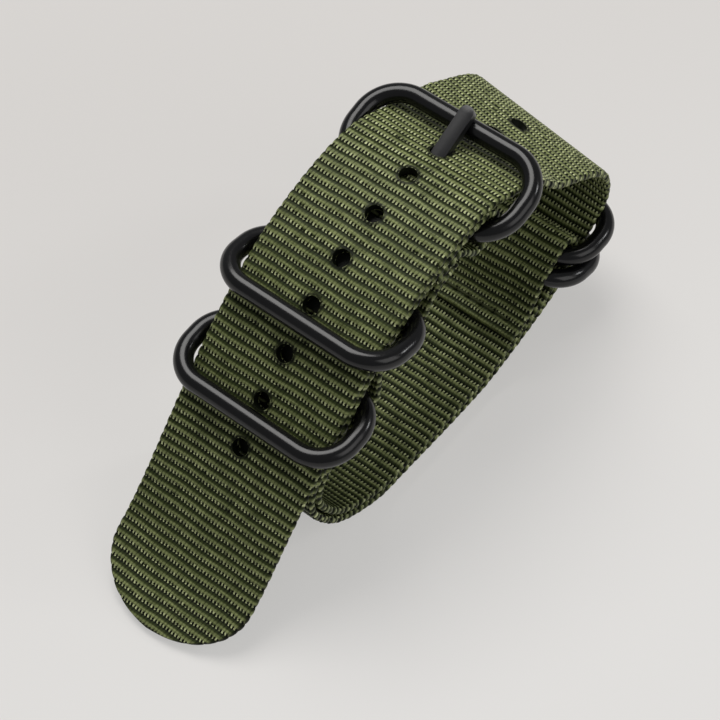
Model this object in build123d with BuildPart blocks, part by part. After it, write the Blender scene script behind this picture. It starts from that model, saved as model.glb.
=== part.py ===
from build123d import *
import os
from math import atan2, cos, degrees, pi, radians, sin, sqrt, tan

# A webbing watch strap with five wire rings, closed in a loop and lying on a table.
# X runs along the loop, from the strap's tip to the two rear rings. Y is the width and Z is up.
# The origin is the middle of the flat stretch that the loop lies on, at the table.

# Webbing
webbing_width = 22.0
webbing_thickness = 1.2
layer_gap = 0.15
tip_length = 8.7
turned_length = 9.6
joined_start = 5.6

# The loop as it lies: its length between the two folds, and the rise of its crest over the table
loop_length = 64.0
loop_rise = 39.3
flat_length = 19.0
tip_slope = radians(30)
tail_reach = 68.2
free_tail = 28.0

# Wire of the rings, the play of the webbing in them, and their outer sizes
wire_diameter = 2.6
ring_play = 0.8
ring_length = webbing_width + 2 * wire_diameter + ring_play
ring_depth = 13.0
buckle_depth = 14.3
corner_share = 0.7

# Room round the bars, because the webbing is wider than the straight run of a bar
bar_slack = 0.22
rear_slack = 0.2
rest_slack = 0.15

# Places along the webbing, counted from the buckle's hinge bar or from the rear of the flat stretch
front_ring_distance = 27.4
back_ring_distance = 14.5
pocket_length = 11.6
rear_ring_distance = 22.6
rear_bar_spacing = 4.0

# Slope at which each rear ring hangs
rear_hang = radians(4)
low_hang = radians(-10.5)

# Tongue
tongue_width = 2.0
tongue_thickness = 1.3
tongue_overhang = 1.7
tongue_seat = 0.03
tongue_play = 0.35
eye_clearance = 0.06

# Punched holes of the tail
hole_diameter = 2.4
hole_pitch = 6.7
holes_before_tongue = 7
holes_after_tongue = 3

# Sewing
stitch_pitch = 2.1
seam_margin = 2.6
stitch_count = round((webbing_width - 2 * seam_margin) / stitch_pitch)
thread_width = 0.5
thread_height = 0.3

half_thickness = webbing_thickness / 2
half_width = webbing_width / 2
layer_step = webbing_thickness + layer_gap
wire_radius = wire_diameter / 2

# Middle line of the tail: across the loop in shares of its length, up in shares of its rise
tail_shares = [
    (-0.605, 0.100), (-0.478, 0.315), (-0.355, 0.550), (-0.256, 0.725), (-0.150, 0.860),
    (-0.020, 0.958), (0.100, 1.000), (0.165, 0.990), (0.222, 0.953), (0.285, 0.910),
    (0.391, 0.795), (0.500, 0.685), (0.580, 0.555), (0.590, 0.430), (0.535, 0.290),
    (0.445, 0.165), (0.336, 0.080), (0.242, 0.027),
]
tip_start_share = -0.709

# Front fold: across and up in shares of the way from the flat stretch to the start of the run under the tail
front_fold_shares = [(0.375, 0.090), (0.735, 0.278), (0.972, 0.534), (1.081, 0.779)]


def from_shares(pairs):
    """Turn shares of the loop into points of the side view."""
    return [(across * loop_length, half_thickness + up * loop_rise) for across, up in pairs]


def station(line, distance):
    """Give the point and the heading at a distance along a line."""
    spot = line.position_at(distance, position_mode=PositionMode.LENGTH)
    heading = line.tangent_at(distance, position_mode=PositionMode.LENGTH)
    return (spot.X, spot.Y), (heading.X, heading.Y)


def beside(place, depth):
    """Move a station sideways, towards the inside of the loop."""
    (x, z), (dx, dz) = place
    return (x + dz * depth, z - dx * depth), (dx, dz)


def spread(start, stop, count):
    """Share a stretch evenly into stations."""
    return [start + (stop - start) * k / count for k in range(count + 1)]


def side_points(places, depth):
    """Give the points of several stations, all moved by one depth."""
    return [beside(place, depth)[0] for place in places]


def ease(value, start, stop):
    """Rise smoothly from 0 to 1 between two values."""
    share = min(max((value - start) / (stop - start), 0), 1)
    return share * share * (3 - 2 * share)


def bulge(value, centre, length):
    """Rise smoothly to 1 at the centre of a stretch and back to 0 at its ends."""
    share = min(abs(value - centre) / length * 2, 1)
    return cos(share * pi / 2) ** 2


def clearance(line, spot):
    """Give the distance from a point of the side view to a line."""
    return line.distance_to(Vector(spot[0], spot[1], 0))


def on_circle(centre, radius, angle):
    """Give a point of a circle in the side view."""
    return (centre[0] + radius * cos(angle), centre[1] + radius * sin(angle))


def swing_to(line, centre, radius, free_angle, blocked_angle, distance):
    """Turn a bar about its hinge, from a free angle, until it is a given distance from a line."""
    for _ in range(30):
        middle = (free_angle + blocked_angle) / 2
        if clearance(line, on_circle(centre, radius, middle)) > distance:
            free_angle = middle
        else:
            blocked_angle = middle
    return free_angle


def corner_radius(depth):
    """Give the centre-line radius of a ring's corners."""
    return (depth - wire_diameter) / 2 * corner_share


def corner_drift(depth):
    """Give how far a bar has curved away at the edge of the webbing."""
    bend = corner_radius(depth)
    past = max(half_width + layer_gap - (ring_length - wire_diameter) / 2 + bend, 0)
    return bend - sqrt(bend * bend - past * past)


ring_drift = corner_drift(ring_depth)
buckle_drift = corner_drift(buckle_depth)
ring_spacing = ring_depth - wire_diameter
buckle_spacing = buckle_depth - wire_diameter
ring_room = ring_drift + bar_slack
buckle_room = buckle_drift + bar_slack
rear_room = ring_drift + rear_slack

# Middle line of the tail, the top, the back fold and the rear of the bottom, up to the flat stretch
tip_point = (tip_start_share * loop_length, half_thickness * cos(tip_slope))
flat_back = (flat_length / 2, half_thickness)
flat_front = (-flat_length / 2, half_thickness)
tail_line = Spline(
    tip_point, *from_shares(tail_shares), flat_back,
    tangents=[(cos(tip_slope), sin(tip_slope)), (-1, 0)], tangent_scalars=[1, 1],
)

# Middle line of the front fold and of the run under the tail, up to the buckle's hinge bar
under_tail = [beside(station(tail_line, s), layer_step) for s in spread(free_tail, tail_reach, 24)]
hinge_place = under_tail[-1]
fold_run = under_tail[0][0][0] - flat_front[0]
fold_rise = under_tail[0][0][1] - flat_front[1]
front_fold = [(flat_front[0] + fold_run * a, flat_front[1] + fold_rise * b) for a, b in front_fold_shares]
front_line = Spline(
    flat_front, *front_fold, *[spot for spot, _ in under_tail],
    tangents=[(-1, 0), hinge_place[1]], tangent_scalars=[1, 1],
)
front_end = front_line.length

# Hinge bar of the buckle, and the loop of webbing round it
buckle_hinge = beside(hinge_place, half_thickness + buckle_room + wire_radius)[0]
wrap_depth = webbing_thickness + buckle_room + wire_diameter + bar_slack
wrap_radius = wrap_depth / 2
wrap_shift = buckle_drift
wrap_centre = beside(hinge_place, wrap_radius)[0]
wrap_heading = atan2(hinge_place[1][1], hinge_place[1][0])
wrap_centre = on_circle(wrap_centre, wrap_shift, wrap_heading)


def round_the_bar(centre, radius, heading, first, last, count):
    """Give stations on a fold that turns towards the inside, between two turning angles."""
    places = []
    for turn in spread(first, last, count):
        angle = heading + pi / 2 - turn
        places.append((on_circle(centre, radius, angle), (sin(angle), -cos(angle))))
    return places


def turned_depth(distance):
    """Give the depth of the turned end under the run above it, at a distance from the hinge bar."""
    return layer_step + (wrap_depth - layer_step) * (1 - ease(distance, wrap_radius / 4, joined_start))


def turned_place(distance):
    """Give a station of the turned end, heading away from the buckle."""
    spot, (dx, dz) = beside(station(front_line, front_end - distance), turned_depth(distance))
    return spot, (-dx, -dz)


def with_headings(spots):
    """Give each of several points the heading from its neighbours."""
    places = []
    for k, spot in enumerate(spots):
        before = spots[max(k - 1, 0)]
        after = spots[min(k + 1, len(spots) - 1)]
        span = sqrt((after[0] - before[0]) ** 2 + (after[1] - before[1]) ** 2)
        places.append((spot, ((after[0] - before[0]) / span, (after[1] - before[1]) / span)))
    return places


wrap_places = round_the_bar(wrap_centre, wrap_radius, wrap_heading, 0, pi, 10)
turned_spots = [turned_place(d)[0] for d in spread(0, turned_length, 9)]
turned_places = with_headings([wrap_places[-1][0]] + turned_spots)[1:]

tail_places = [station(tail_line, s) for s in spread(0, tail_line.length, 84)]
front_places = [station(front_line, s) for s in spread(0, front_end, 46)]
end_places = front_places[:-1] + [hinge_place] + wrap_places + turned_places

# Second strap: from its cut end under the buckle's fold, round the inside, to the rear fold
pocket_front = front_end - front_ring_distance
pocket_back = front_end - back_ring_distance
pocket_depth = webbing_thickness + ring_room + wire_diameter + bar_slack


def second_depth(distance):
    """Give the depth of the second strap under the run above it, at a distance along the front line."""
    pocket = max(bulge(distance, pocket_front, pocket_length), bulge(distance, pocket_back, pocket_length))
    closed = layer_step * (1 + ease(distance, pocket_back, front_end - turned_length))
    return closed + (pocket_depth - closed) * pocket


second_front_end = front_end - joined_start
second_front = [beside(station(front_line, s), second_depth(s))[0] for s in spread(0, second_front_end, 60)]
rear_station = tail_line.length - rear_ring_distance
rear_fold_place = beside(station(tail_line, rear_station), layer_step)
rear_pocket_depth = webbing_thickness + wire_diameter + ring_room + bar_slack
rear_fold_radius = rear_pocket_depth / 2
rear_heading = atan2(-rear_fold_place[1][1], -rear_fold_place[1][0])
rear_fold_centre = beside(rear_fold_place, rear_fold_radius)[0]
rear_fold_centre = on_circle(rear_fold_centre, ring_drift, rear_heading)
rear_low = [beside(station(tail_line, s), layer_step)[0] for s in spread(rear_station, tail_line.length, 14)]
flat_run = [(x, half_thickness + layer_step) for x in spread(flat_back[0], flat_front[0], 8)]


def fold_spots(centre, radius, heading, count):
    """Give the points of the rear fold, from its lower layer round to its upper one."""
    return [on_circle(centre, radius, heading - pi / 2 + turn) for turn in spread(0, pi, count)]


rear_seam_distance = rear_bar_spacing * 2 + rear_fold_radius * 1.6
rear_end_distance = rear_seam_distance + layer_step * 1.6


def rear_top(distance):
    """Give a point of the rear fold's upper layer, at a distance in front of the rearmost bar."""
    closed = ease(distance, rear_bar_spacing, rear_seam_distance - thread_width)
    depth = layer_step + rear_pocket_depth - (rear_pocket_depth - layer_step) * closed
    return beside(station(tail_line, rear_station + distance), depth)[0]


rear_upper = [rear_top(d) for d in spread(0, rear_end_distance, 12)]
second_spots = rear_upper[::-1] + fold_spots(rear_fold_centre, rear_fold_radius, rear_heading, 10)[::-1]
second_spots += rear_low + flat_run[1:-1] + second_front
second_places = with_headings(second_spots)

# Bars: each ring's hinge bar is held in the webbing and its free bar lies over the strap
ring_bar_depth = half_thickness + ring_room + wire_radius
front_hinge = beside(station(front_line, pocket_front), ring_bar_depth)[0]
back_hinge = beside(station(front_line, pocket_back), ring_bar_depth)[0]
rest_distance = half_thickness + wire_radius + ring_drift + rest_slack
buckle_rest = half_thickness + wire_radius + buckle_drift * 0.7 + rest_slack
rear_depth = layer_step + half_thickness + rear_room + wire_radius
rear_hinge = beside(station(tail_line, rear_station), rear_depth)[0]
low_hinge = beside(station(tail_line, rear_station + rear_bar_spacing), rear_depth)[0]

front_angle = swing_to(tail_line, front_hinge, ring_spacing, radians(120), radians(225), rest_distance)
back_angle = swing_to(tail_line, back_hinge, ring_spacing, radians(110), radians(215), rest_distance)
buckle_angle = swing_to(tail_line, buckle_hinge, buckle_spacing, radians(70), radians(-20), buckle_rest)


def ring_plane(hinge, angle, spacing):
    """Give the plane of a ring, its centre as origin and its short side as X."""
    middle = on_circle(hinge, spacing / 2, angle)
    return Plane(
        origin=(middle[0], 0, middle[1]),
        x_dir=(cos(angle), 0, sin(angle)),
        z_dir=(-sin(angle), 0, cos(angle)),
    )


# Tongue: it runs from the hinge bar over the far bar and crosses the tail at the hole in use
tongue_rise = wire_radius + tongue_seat + tongue_thickness / 2
tongue_angle = buckle_angle + atan2(tongue_rise, sqrt(buckle_spacing**2 - tongue_rise**2))
crossing = wire_radius
for _ in range(60):
    crossing += clearance(tail_line, on_circle(buckle_hinge, crossing, tongue_angle)) / 2
crossing_spot = on_circle(buckle_hinge, crossing, tongue_angle)
crossing_station = tail_reach
for _ in range(40):
    (cx, cz), (hx, hz) = station(tail_line, crossing_station)
    crossing_station += (crossing_spot[0] - cx) * hx + (crossing_spot[1] - cz) * hz
crossing_heading = station(tail_line, crossing_station)[1]
crossing_angle = tongue_angle - atan2(crossing_heading[1], crossing_heading[0])
used_hole_length = (
    webbing_thickness / tan(crossing_angle)
    + (tongue_thickness + 2 * tongue_play) / sin(crossing_angle)
)


eye_radius = wire_radius + eye_clearance + tongue_thickness
slot_width = tongue_width + layer_gap * 4
slot_reach = wrap_shift + wrap_radius + webbing_thickness
slot_start = eye_radius + layer_gap * 2
slot_top = half_thickness + layer_gap / 2
slot_bottom = wrap_depth + webbing_thickness


def offset_edges(places):
    """Give the outer and the inner points of a band round its stations."""
    return side_points(places, -half_thickness), side_points(places, half_thickness)


def cross_plane(place, depth=0):
    """Give the plane across the strap at a station: X along the strap, Z away from the loop's inside."""
    (x, z), (dx, dz) = beside(place, depth)
    return Plane(origin=(x, 0, z), x_dir=(dx, 0, dz), z_dir=(-dz, 0, dx))


os.makedirs("parts", exist_ok=True)

# Main strap: tail, top, both folds, the run under the tail and the turned end round the buckle's bar
tail_outer, tail_inner = offset_edges(tail_places)
end_outer, end_inner = offset_edges(end_places)
with BuildPart() as main_strap:
    with BuildSketch(Plane.XZ):
        with BuildLine():
            Spline(*tail_outer)
            Line(tail_outer[-1], end_outer[0])
            Spline(*end_outer)
            Line(end_outer[-1], end_inner[-1])
            Spline(*end_inner[::-1])
            Line(end_inner[0], tail_inner[-1])
            Spline(*tail_inner[::-1])
            Line(tail_inner[0], tail_outer[0])
        make_face()
    extrude(amount=half_width, both=True)
    with BuildSketch(cross_plane(tail_places[0])):
        Rectangle(tip_length * 2, webbing_width * 1.1)
        with Locations((tip_length, 0)):
            Ellipse(tip_length, half_width, mode=Mode.SUBTRACT)
            Rectangle(tip_length, webbing_width, align=(Align.MIN, Align.CENTER), mode=Mode.SUBTRACT)
    extrude(amount=tip_length / 4, both=True, mode=Mode.SUBTRACT)
    for k in range(-holes_before_tongue, holes_after_tongue + 1):
        with BuildSketch(cross_plane(station(tail_line, crossing_station + k * hole_pitch))):
            if k == 0:
                SlotOverall(used_hole_length, hole_diameter)
            else:
                Circle(hole_diameter / 2)
        extrude(amount=slot_top, both=True, mode=Mode.SUBTRACT)
    with BuildSketch(cross_plane(hinge_place, slot_bottom)):
        with Locations(((slot_reach - slot_start) / 2, 0)):
            Rectangle(slot_reach + slot_start, slot_width)
    extrude(amount=slot_bottom + slot_top, mode=Mode.SUBTRACT)
main_strap.part.label = "main_strap"
export_step(main_strap.part, "parts/main_strap.step")

# Second strap: sewn under the main one, and folded round the two rear rings
second_outer, second_inner = offset_edges(second_places)
with BuildPart() as second_strap:
    with BuildSketch(Plane.XZ):
        with BuildLine():
            Spline(*second_outer)
            Line(second_outer[-1], second_inner[-1])
            Spline(*second_inner[::-1])
            Line(second_inner[0], second_outer[0])
        make_face()
    extrude(amount=half_width, both=True)
second_strap.part.label = "second_strap"
export_step(second_strap.part, "parts/second_strap.step")

# Wire rings
rings = [
    ("buckle_frame", buckle_hinge, buckle_angle, buckle_depth),
    ("back_keeper", back_hinge, back_angle, ring_depth),
    ("front_keeper", front_hinge, front_angle, ring_depth),
    ("rear_ring_upper", rear_hinge, rear_hang, ring_depth),
    ("rear_ring_lower", low_hinge, low_hang, ring_depth),
]
for name, hinge, angle, depth in rings:
    spacing = depth - wire_diameter
    across = spacing / 2
    along = (ring_length - wire_diameter) / 2
    with BuildPart() as ring:
        with BuildLine(ring_plane(hinge, angle, spacing)):
            path = FilletPolyline(
                (-across, -along), (across, -along), (across, along), (-across, along),
                radius=corner_radius(depth), close=True,
            )
        with BuildSketch(Plane(origin=path @ 0, z_dir=path % 0)):
            Circle(wire_radius)
        sweep()
    ring.part.label = name
    export_step(ring.part, f"parts/{name}.step")

# Tongue: an eye round the buckle's hinge bar and a blade that lies on the far bar
tongue_plane = Plane(
    origin=(buckle_hinge[0], 0, buckle_hinge[1]),
    x_dir=(cos(tongue_angle), 0, sin(tongue_angle)),
    z_dir=(0, -1, 0),
)
blade_end = buckle_spacing + tongue_overhang
with BuildPart() as tongue:
    with BuildSketch(tongue_plane):
        Circle(eye_radius)
        with Locations((blade_end / 2, 0)):
            Rectangle(blade_end, tongue_thickness)
        Circle(wire_radius + eye_clearance, mode=Mode.SUBTRACT)
    extrude(amount=tongue_width / 2, both=True)
    tip_corners = tongue.faces().sort_by(Axis((0, 0, 0), tongue_plane.x_dir))[-1].edges()
    fillet(tip_corners.filter_by(Axis.Y, reverse=True), radius=tongue_width * 0.45)
tongue.part.label = "tongue"
export_step(tongue.part, "parts/tongue.step")

# Sewing: each seam has a thread on each face, and the two meet in the middle of the layers
leg_width = thread_width * 0.6
seam_run = stitch_pitch * stitch_count
first_seam = joined_start + thread_width * 2
second_seam = turned_length - thread_width * 1.5
between_pockets = (front_ring_distance + back_ring_distance) / 2
behind_pockets = front_ring_distance + pocket_length / 2 + thread_width
seams = [
    ("buckle_seam_back", station(front_line, front_end - first_seam), layer_step * 2),
    ("buckle_seam_front", station(front_line, front_end - second_seam), layer_step * 2),
    ("keeper_seam", station(front_line, front_end - between_pockets), layer_step),
    ("joining_seam", station(front_line, front_end - behind_pockets), layer_step),
    ("rear_seam", beside(station(tail_line, rear_station + rear_seam_distance), layer_step), layer_step),
]
for name, place, stack in seams:
    faces = [
        ("outer", cross_plane(place, -half_thickness), 1),
        ("inner", cross_plane(place, stack + half_thickness), -1),
    ]
    leg_length = (stack + webbing_thickness) / 2 - layer_gap / 2
    for side, plane, up in faces:
        with BuildPart(plane) as thread:
            with Locations((0, 0, -up * thread_height / 2)):
                Box(leg_width, seam_run + leg_width, thread_height / 2)
            for k in range(stitch_count + 1):
                with Locations((0, (k - stitch_count / 2) * stitch_pitch, -up * leg_length / 2)):
                    Box(leg_width, leg_width, leg_length - thread_height)
            for k in range(stitch_count):
                with Locations((0, (k + (1 - stitch_count) / 2) * stitch_pitch, -up * thread_height / 4)):
                    Box(thread_width, stitch_pitch * 0.75, thread_height)
        thread.part.label = f"{name}_{side}"
        export_step(thread.part, f"parts/{name}_{side}.step")
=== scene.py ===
"""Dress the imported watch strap: woven webbing, coated wire rings, sewing and soft light."""

import logging
import math
from dataclasses import dataclass, field
from enum import Enum
from typing import Callable, Sequence

import bpy
import numpy as np
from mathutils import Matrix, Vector

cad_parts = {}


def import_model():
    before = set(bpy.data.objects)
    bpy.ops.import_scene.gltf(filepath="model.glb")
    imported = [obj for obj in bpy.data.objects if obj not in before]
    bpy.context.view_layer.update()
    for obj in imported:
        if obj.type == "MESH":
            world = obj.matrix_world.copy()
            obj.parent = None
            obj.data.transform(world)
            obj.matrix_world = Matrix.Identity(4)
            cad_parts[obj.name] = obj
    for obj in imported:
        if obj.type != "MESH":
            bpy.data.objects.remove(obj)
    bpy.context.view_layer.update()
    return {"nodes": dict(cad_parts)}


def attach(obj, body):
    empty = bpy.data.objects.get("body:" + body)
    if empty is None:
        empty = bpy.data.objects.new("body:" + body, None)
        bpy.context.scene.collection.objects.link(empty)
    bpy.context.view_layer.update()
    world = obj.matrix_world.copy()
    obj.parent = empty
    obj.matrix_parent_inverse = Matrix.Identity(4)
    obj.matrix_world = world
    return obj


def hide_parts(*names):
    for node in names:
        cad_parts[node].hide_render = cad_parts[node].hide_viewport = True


logging.basicConfig(level=logging.INFO, format="%(message)s")
LOG = logging.getLogger("strap")

Array = np.ndarray
Span = tuple[float, float]
Spot = tuple[float, float, float]
Colour = tuple[float, float, float]
Number = Array | float
Object = bpy.types.Object
Mesh = bpy.types.Mesh
Material = bpy.types.Material
Socket = bpy.types.NodeSocket
Skin = tuple[Array, list]

MM = 0.001
QUARTER_TURN = math.pi / 2

# Points on each span of a spline, and on each other stretch of the straps' lines
SPLINE_POINTS = 30
UNDER_POINTS = 25
FOLD_POINTS = 40
TURNED_POINTS = 60
REAR_POINTS = 120
LOW_POINTS = 200
FRONT_POINTS = 400

# Shortest step that a line keeps and the reach over which its heading is measured, in millimetres
SHORTEST_STEP = 1e-7
HEADING_REACH = 0.12

# Halvings of a ring's angle, and places tried along the tongue
SWING_HALVINGS = 30
TONGUE_PLACES = 1200


class Slot(Enum):
    """The record's material slots."""

    WEBBING = "webbing"
    THREAD = "thread"
    WIRE = "coated_wire"
    TONGUE = "tongue_metal"


class Body(Enum):
    """The bodies that pieces ride on."""

    STRAPS = "straps"
    BUCKLE = "buckle"
    TONGUE = "tongue"
    BACK_KEEPER = "back_keeper"
    FRONT_KEEPER = "front_keeper"
    UPPER_RING = "upper_rear_ring"
    LOWER_RING = "lower_rear_ring"


# Smooth lines of the side view


def ease(value: Number, start: float, stop: float) -> Number:
    """Rise smoothly from 0 to 1 between two values."""
    share = np.clip((value - start) / (stop - start), 0, 1)
    return share * share * (3 - 2 * share)


def bulge(value: Number, centre: float, length: float) -> Number:
    """Rise smoothly to 1 at the centre of a stretch and back to 0 at its ends."""
    share = np.clip(np.abs(value - centre) / length * 2, 0, 1)
    return np.cos(share * QUARTER_TURN) ** 2


def inward_of(heading: Array) -> Array:
    """Turn headings a quarter turn, towards the inside of the loop."""
    return np.stack([heading[..., 1], -heading[..., 0]], axis=-1)


def turn_of(heading: Array) -> float:
    """Give a heading's angle in the side view."""
    return math.atan2(heading[1], heading[0])


def on_circle(centre: Array, radius: Number, angle: Number) -> Array:
    """Give points of a circle in the side view."""
    return np.asarray(centre) + radius * np.stack([np.cos(angle), np.sin(angle)], axis=-1)


def clamped_spline(points: Array, first: Sequence[float], last: Sequence[float]) -> Array:
    """Sample the cubic spline through points that has given headings at its ends.

    Args:
        points: The points that it passes, one per row.
        first: Heading at the first point, one unit long.
        last: Heading at the last point, one unit long.

    Returns:
        Closely spaced points on the spline.
    """
    spans = np.linalg.norm(np.diff(points, axis=0), axis=1)
    steps = np.diff(points, axis=0) / spans[:, None] ** 2
    count = len(points)
    matrix = np.zeros((count, count))
    right = np.zeros((count, 2))
    matrix[0, 0] = matrix[-1, -1] = 1
    right[0], right[-1] = first, last
    for k in range(1, count - 1):
        before, after = spans[k - 1], spans[k]
        matrix[k, k - 1 : k + 2] = 1 / before, 2 / before + 2 / after, 1 / after
        right[k] = 3 * (steps[k - 1] + steps[k])
    slopes = np.linalg.solve(matrix, right)
    shares = np.linspace(0, 1, SPLINE_POINTS, endpoint=False)[:, None]
    pieces = []
    for k, span in enumerate(spans):
        pieces.append(
            points[k] * (2 * shares**3 - 3 * shares**2 + 1)
            + slopes[k] * span * (shares**3 - 2 * shares**2 + shares)
            + points[k + 1] * (3 * shares**2 - 2 * shares**3)
            + slopes[k + 1] * span * (shares**3 - shares**2)
        )
    return np.vstack(pieces + [points[-1:]])


@dataclass
class Line:
    """A line of the side view that is read by the distance along it."""

    points: Array
    distances: Array = field(init=False)

    def __post_init__(self) -> None:
        """Drop doubled points and measure the line."""
        steps = np.linalg.norm(np.diff(self.points, axis=0), axis=1)
        self.points = self.points[np.concatenate([[True], steps > SHORTEST_STEP])]
        steps = np.linalg.norm(np.diff(self.points, axis=0), axis=1)
        self.distances = np.concatenate([[0], np.cumsum(steps)])

    @property
    def length(self) -> float:
        """The line's length."""
        return float(self.distances[-1])

    def at(self, distance: Number) -> Array:
        """Give the points at distances along the line."""
        wanted = np.atleast_1d(distance)
        return np.column_stack([np.interp(wanted, self.distances, axis) for axis in self.points.T])

    def heading(self, distance: Number, reach: float = HEADING_REACH) -> Array:
        """Give the line's headings.

        Args:
            distance: Distances along the line.
            reach: How far before and after each of them the line is read.

        Returns:
            Headings, one unit long.
        """
        wanted = np.atleast_1d(distance)
        low = np.clip(wanted - reach, 0, self.length)
        high = np.clip(wanted + reach, 0, self.length)
        step = self.at(high) - self.at(low)
        return step / np.linalg.norm(step, axis=1)[:, None]

    def beside(self, distance: Number, depth: Number) -> Array:
        """Give the points that lie beside the line, towards the inside of the loop."""
        inward = inward_of(self.heading(distance))
        return self.at(distance) + inward * np.atleast_1d(depth)[:, None]

    def spot(self, distance: float, depth: float = 0.0) -> tuple[Array, Array]:
        """Give one point beside the line and the heading there."""
        return self.beside(distance, depth)[0], self.heading(distance)[0]

    def nearest(self, spot: Array) -> tuple[float, float]:
        """Give the smallest gap between a point and the line, and how far along it is."""
        gaps = np.linalg.norm(self.points - spot, axis=1)
        k = int(gaps.argmin())
        return float(gaps[k]), float(self.distances[k])


@dataclass
class Layout:
    """The side view of the closed strap, in millimetres, with the sizes of the solid model.

    Sizes that end in share are shares of another size. The tail is the upper run of the main
    strap and the front is its lower run, from the loop's flat stretch to the buckle's fold.
    """

    webbing_width: float = 22.0
    webbing_thickness: float = 1.2
    layer_gap: float = 0.15
    tip_length: float = 8.7
    turned_length: float = 9.6
    turned_start_share: float = 0.25
    joined_start: float = 5.6
    loop_length: float = 64.0
    loop_rise: float = 39.3
    flat_length: float = 19.0
    tip_slope: float = math.radians(30)
    tail_reach: float = 68.2
    free_tail: float = 28.0
    wire_diameter: float = 2.6
    ring_play: float = 0.8
    ring_depth: float = 13.0
    buckle_depth: float = 14.3
    corner_share: float = 0.7
    buckle_drift_share: float = 0.7
    bar_slack: float = 0.22
    rear_slack: float = 0.2
    rest_slack: float = 0.15
    front_ring_distance: float = 27.4
    back_ring_distance: float = 14.5
    pocket_length: float = 11.6
    rear_ring_distance: float = 22.6
    rear_bar_spacing: float = 4.0
    rear_fold_share: float = 1.6
    rear_end_share: float = 1.6
    rear_hang: float = math.radians(4)
    low_hang: float = math.radians(-10.5)
    front_search: Span = (math.radians(120), math.radians(225))
    back_search: Span = (math.radians(110), math.radians(215))
    buckle_search: Span = (math.radians(70), math.radians(-20))
    tongue_thickness: float = 1.3
    tongue_seat: float = 0.03
    tongue_play: float = 0.35
    eye_clearance: float = 0.06
    tongue_width: float = 2.0
    hole_diameter: float = 2.4
    hole_pitch: float = 6.7
    holes_before_tongue: int = 7
    holes_after_tongue: int = 3
    stitch_pitch: float = 2.1
    stitch_count: int = 8
    thread_width: float = 0.5
    tail_shares: tuple[Span, ...] = (
        (-0.605, 0.100), (-0.478, 0.315), (-0.355, 0.550), (-0.256, 0.725), (-0.150, 0.860),
        (-0.020, 0.958), (0.100, 1.000), (0.165, 0.990), (0.222, 0.953), (0.285, 0.910),
        (0.391, 0.795), (0.500, 0.685), (0.580, 0.555), (0.590, 0.430), (0.535, 0.290),
        (0.445, 0.165), (0.336, 0.080), (0.242, 0.027),
    )
    front_fold_shares: tuple[Span, ...] = (
        (0.375, 0.090), (0.735, 0.278), (0.972, 0.534), (1.081, 0.779),
    )
    tip_start_share: float = -0.709

    def __post_init__(self) -> None:
        """Work out the lines and the bars."""
        self.half_thickness = self.webbing_thickness / 2
        self.half_width = self.webbing_width / 2
        self.layer_step = self.webbing_thickness + self.layer_gap
        self.wire_radius = self.wire_diameter / 2
        self.ring_length = self.webbing_width + 2 * self.wire_diameter + self.ring_play
        self.ring_drift = self.corner_drift(self.ring_depth)
        self.buckle_drift = self.corner_drift(self.buckle_depth)
        self.ring_spacing = self.ring_depth - self.wire_diameter
        self.buckle_spacing = self.buckle_depth - self.wire_diameter
        self.lay_main_line()
        self.lay_second_line()
        self.place_bars()
        self.place_tongue()

    def corner_drift(self, depth: float) -> float:
        """Work out how far a bar has curved away at the edge of the webbing.

        Args:
            depth: The ring's size from its hinge bar to its outer bar, outside.

        Returns:
            The distance.
        """
        bend = (depth - self.wire_diameter) / 2 * self.corner_share
        straight = (self.ring_length - self.wire_diameter) / 2 - bend
        past = max(self.half_width + self.layer_gap - straight, 0)
        return bend - math.sqrt(bend * bend - past * past)

    def fold_round(
        self, place: Array, heading: Array, radius: float, drift: float, side: int
    ) -> Array:
        """Give the half circle by which a strap turns back round a bar.

        Args:
            place: Where it starts.
            heading: The strap's heading there.
            radius: Its radius.
            drift: How far its centre lies ahead of its start.
            side: 1 if it turns towards the inside of the heading, -1 if away from it.

        Returns:
            Points on the half circle.
        """
        turn = turn_of(heading)
        centre = on_circle(place + side * inward_of(heading) * radius, drift, turn)
        angles = QUARTER_TURN - np.linspace(0, math.pi, FOLD_POINTS)
        return on_circle(centre, radius, turn + side * angles)

    def lay_main_line(self) -> None:
        """Lay the main strap's middle line, from its tip to its turned end."""
        slope = (math.cos(self.tip_slope), math.sin(self.tip_slope))
        tip = [self.tip_start_share * self.loop_length, self.half_thickness * slope[0]]
        flat_back = [self.flat_length / 2, self.half_thickness]
        flat_front = [-self.flat_length / 2, self.half_thickness]
        loop = np.array(self.tail_shares) * [self.loop_length, self.loop_rise]
        knots = np.vstack([tip, loop + [0, self.half_thickness], flat_back])
        self.tail = Line(clamped_spline(knots, slope, (-1, 0)))
        distances = np.linspace(self.free_tail, self.tail_reach, UNDER_POINTS)
        under = self.tail.beside(distances, self.layer_step)
        heading = self.tail.heading(self.tail_reach)[0]
        fold = np.array(flat_front) + (under[0] - flat_front) * np.array(self.front_fold_shares)
        knots = np.vstack([flat_front, fold, under])
        self.front = Line(clamped_spline(knots, (-1, 0), heading))
        self.hinge_place, self.hinge_heading = under[-1], heading
        room = self.buckle_drift + self.bar_slack
        bar_depth = self.half_thickness + room + self.wire_radius
        self.buckle_hinge = under[-1] + inward_of(heading) * bar_depth
        self.wrap_depth = self.webbing_thickness + room + self.wire_diameter + self.bar_slack
        self.wrap_radius = self.wrap_depth / 2
        wrap = self.fold_round(under[-1], heading, self.wrap_radius, self.buckle_drift, 1)
        along = np.linspace(0, self.turned_length, TURNED_POINTS)
        shut = ease(along, self.wrap_radius * self.turned_start_share, self.joined_start)
        depth = self.layer_step + (self.wrap_depth - self.layer_step) * (1 - shut)
        turned = self.front.beside(self.front.length - along, depth)
        self.main = Line(np.vstack([self.tail.points, self.front.points, wrap, turned]))

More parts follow.
